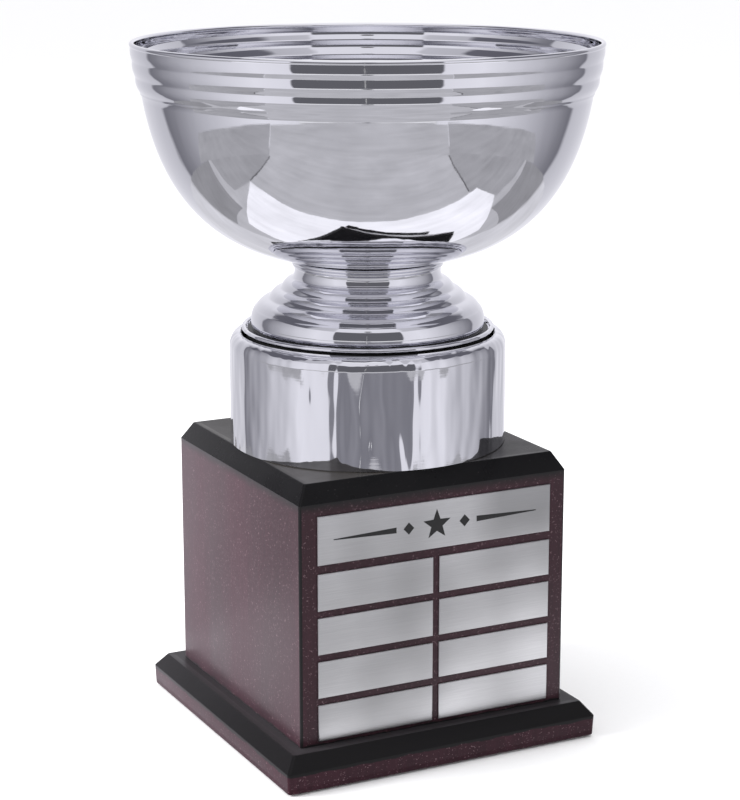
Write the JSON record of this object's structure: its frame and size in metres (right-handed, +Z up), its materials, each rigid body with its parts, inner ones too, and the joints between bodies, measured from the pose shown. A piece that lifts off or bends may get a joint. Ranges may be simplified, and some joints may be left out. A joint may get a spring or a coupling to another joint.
{
  "type": "perpetual bowl trophy",
  "caption": "Perpetual award: a wide banded chrome bowl on a stepped pedestal and collar, clamped to a square rosewood block with name plates and a bevelled plinth.",
  "frame": {"origin": "centre of the felt pad's underside, at floor level", "axes": "+Z up through the bowl, -Y out of the face that carries the plates, +X to the right of that face"},
  "size_m": [0.2422, 0.2422, 0.3631],
  "materials": {
    "chrome": "mirror polished, faint spinning lines",
    "zinc_steel": "bright zinc plate",
    "gasket_rubber": "matte black",
    "fibreboard": "medium density fibreboard, painted black at its upper end",
    "black_lacquer": "black lacquer, satin",
    "rosewood": "dark rosewood stain under satin lacquer",
    "pine": "raw softwood",
    "plinth_lacquer": "dark rosewood edge with a black bevel, satin lacquer",
    "felt": "short pile",
    "plate_silver": "fine horizontal brushing, satin",
    "adhesive_film": "thin foam film"
  },
  "bodies": {
    "root": {"bowl": "chrome", "neck_ring": "chrome", "pedestal": "chrome", "collar": "chrome", "collar_plate": "chrome", "riser_core": "fibreboard", "tie_rod": "zinc_steel", "dome_nut": "chrome", "bowl_washer": "chrome", "bowl_gasket": "gasket_rubber", "base_washer": "zinc_steel", "lock_washer": "zinc_steel", "base_nut": "zinc_steel", "top_board": "black_lacquer", "front_panel": "rosewood", "back_panel": "rosewood", "left_panel": "rosewood", "right_panel": "rosewood", "corner_block_fl": "pine", "corner_block_fr": "pine", "corner_block_bl": "pine", "corner_block_br": "pine", "plinth_board": "plinth_lacquer", "plinth_screws": "zinc_steel", "felt_pad": "felt", "header_plate": "plate_silver", "plate_adhesive": "adhesive_film", "name_plate_1": "plate_silver", "name_plate_2": "plate_silver", "name_plate_3": "plate_silver", "name_plate_4": "plate_silver", "name_plate_5": "plate_silver", "name_plate_6": "plate_silver", "name_plate_7": "plate_silver", "name_plate_8": "plate_silver"}
  },
  "joints": []
}
